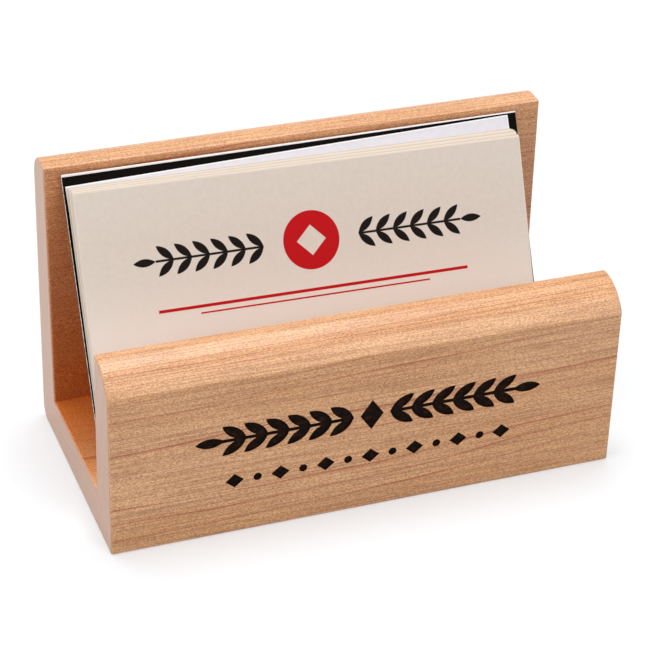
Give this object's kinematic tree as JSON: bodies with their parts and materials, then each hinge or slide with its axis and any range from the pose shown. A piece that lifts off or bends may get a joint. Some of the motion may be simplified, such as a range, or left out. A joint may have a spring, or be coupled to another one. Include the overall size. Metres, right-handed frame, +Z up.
{
  "type": "business card holder",
  "caption": "Maple desk holder: a tall back panel, a base and a lower front rail with a rounded top edge form an open trough in which loose business cards lean and lift out.",
  "frame": {"origin": "centre of the holder's footprint, on the surface it stands on", "axes": "+X along the holder to the right as seen from the front, -Y out of the front rail, +Z up"},
  "size_m": [0.0998, 0.05, 0.0587],
  "materials": {
    "maple": "satin lacquer",
    "cream_card": "uncoated",
    "printed_card": "uncoated, printed",
    "white_card": "smooth",
    "black_card": "printed black"
  },
  "bodies": {
    "holder": {"front_rail": "maple", "base_board": "maple", "back_panel": "maple"},
    "black_rear_card": {"black_rear_card": "black_card"},
    "white_card": {"white_card": "white_card"},
    "cream_card_8": {"cream_card_8": "cream_card"},
    "cream_card_7": {"cream_card_7": "cream_card"},
    "cream_card_6": {"cream_card_6": "cream_card"},
    "cream_card_5": {"cream_card_5": "cream_card"},
    "cream_card_4": {"cream_card_4": "cream_card"},
    "cream_card_3": {"cream_card_3": "cream_card"},
    "cream_card_2": {"cream_card_2": "cream_card"},
    "cream_card_1": {"cream_card_1": "cream_card"},
    "printed_front_card": {"printed_front_card": "printed_card"}
  },
  "joints": [
    {"name": "lift_black_rear_card", "type": "slide", "parent": "holder", "child": "black_rear_card", "axis": [0, 0.4148, 0.9099], "range_m": [0, 0.056]},
    {"name": "lift_white_card", "type": "slide", "parent": "holder", "child": "white_card", "axis": [0, 0.4148, 0.9099], "range_m": [0, 0.056]},
    {"name": "lift_cream_card_8", "type": "slide", "parent": "holder", "child": "cream_card_8", "axis": [0, 0.4148, 0.9099], "range_m": [0, 0.056]},
    {"name": "lift_cream_card_7", "type": "slide", "parent": "holder", "child": "cream_card_7", "axis": [0, 0.4148, 0.9099], "range_m": [0, 0.056]},
    {"name": "lift_cream_card_6", "type": "slide", "parent": "holder", "child": "cream_card_6", "axis": [0, 0.4148, 0.9099], "range_m": [0, 0.056]},
    {"name": "lift_cream_card_5", "type": "slide", "parent": "holder", "child": "cream_card_5", "axis": [0, 0.4148, 0.9099], "range_m": [0, 0.056]},
    {"name": "lift_cream_card_4", "type": "slide", "parent": "holder", "child": "cream_card_4", "axis": [0, 0.4148, 0.9099], "range_m": [0, 0.056]},
    {"name": "lift_cream_card_3", "type": "slide", "parent": "holder", "child": "cream_card_3", "axis": [0, 0.4148, 0.9099], "range_m": [0, 0.056]},
    {"name": "lift_cream_card_2", "type": "slide", "parent": "holder", "child": "cream_card_2", "axis": [0, 0.4148, 0.9099], "range_m": [0, 0.056]},
    {"name": "lift_cream_card_1", "type": "slide", "parent": "holder", "child": "cream_card_1", "axis": [0, 0.4148, 0.9099], "range_m": [0, 0.056]},
    {"name": "lift_printed_front_card", "type": "slide", "parent": "holder", "child": "printed_front_card", "axis": [0, 0.4148, 0.9099], "range_m": [0, 0.056]}
  ]
}
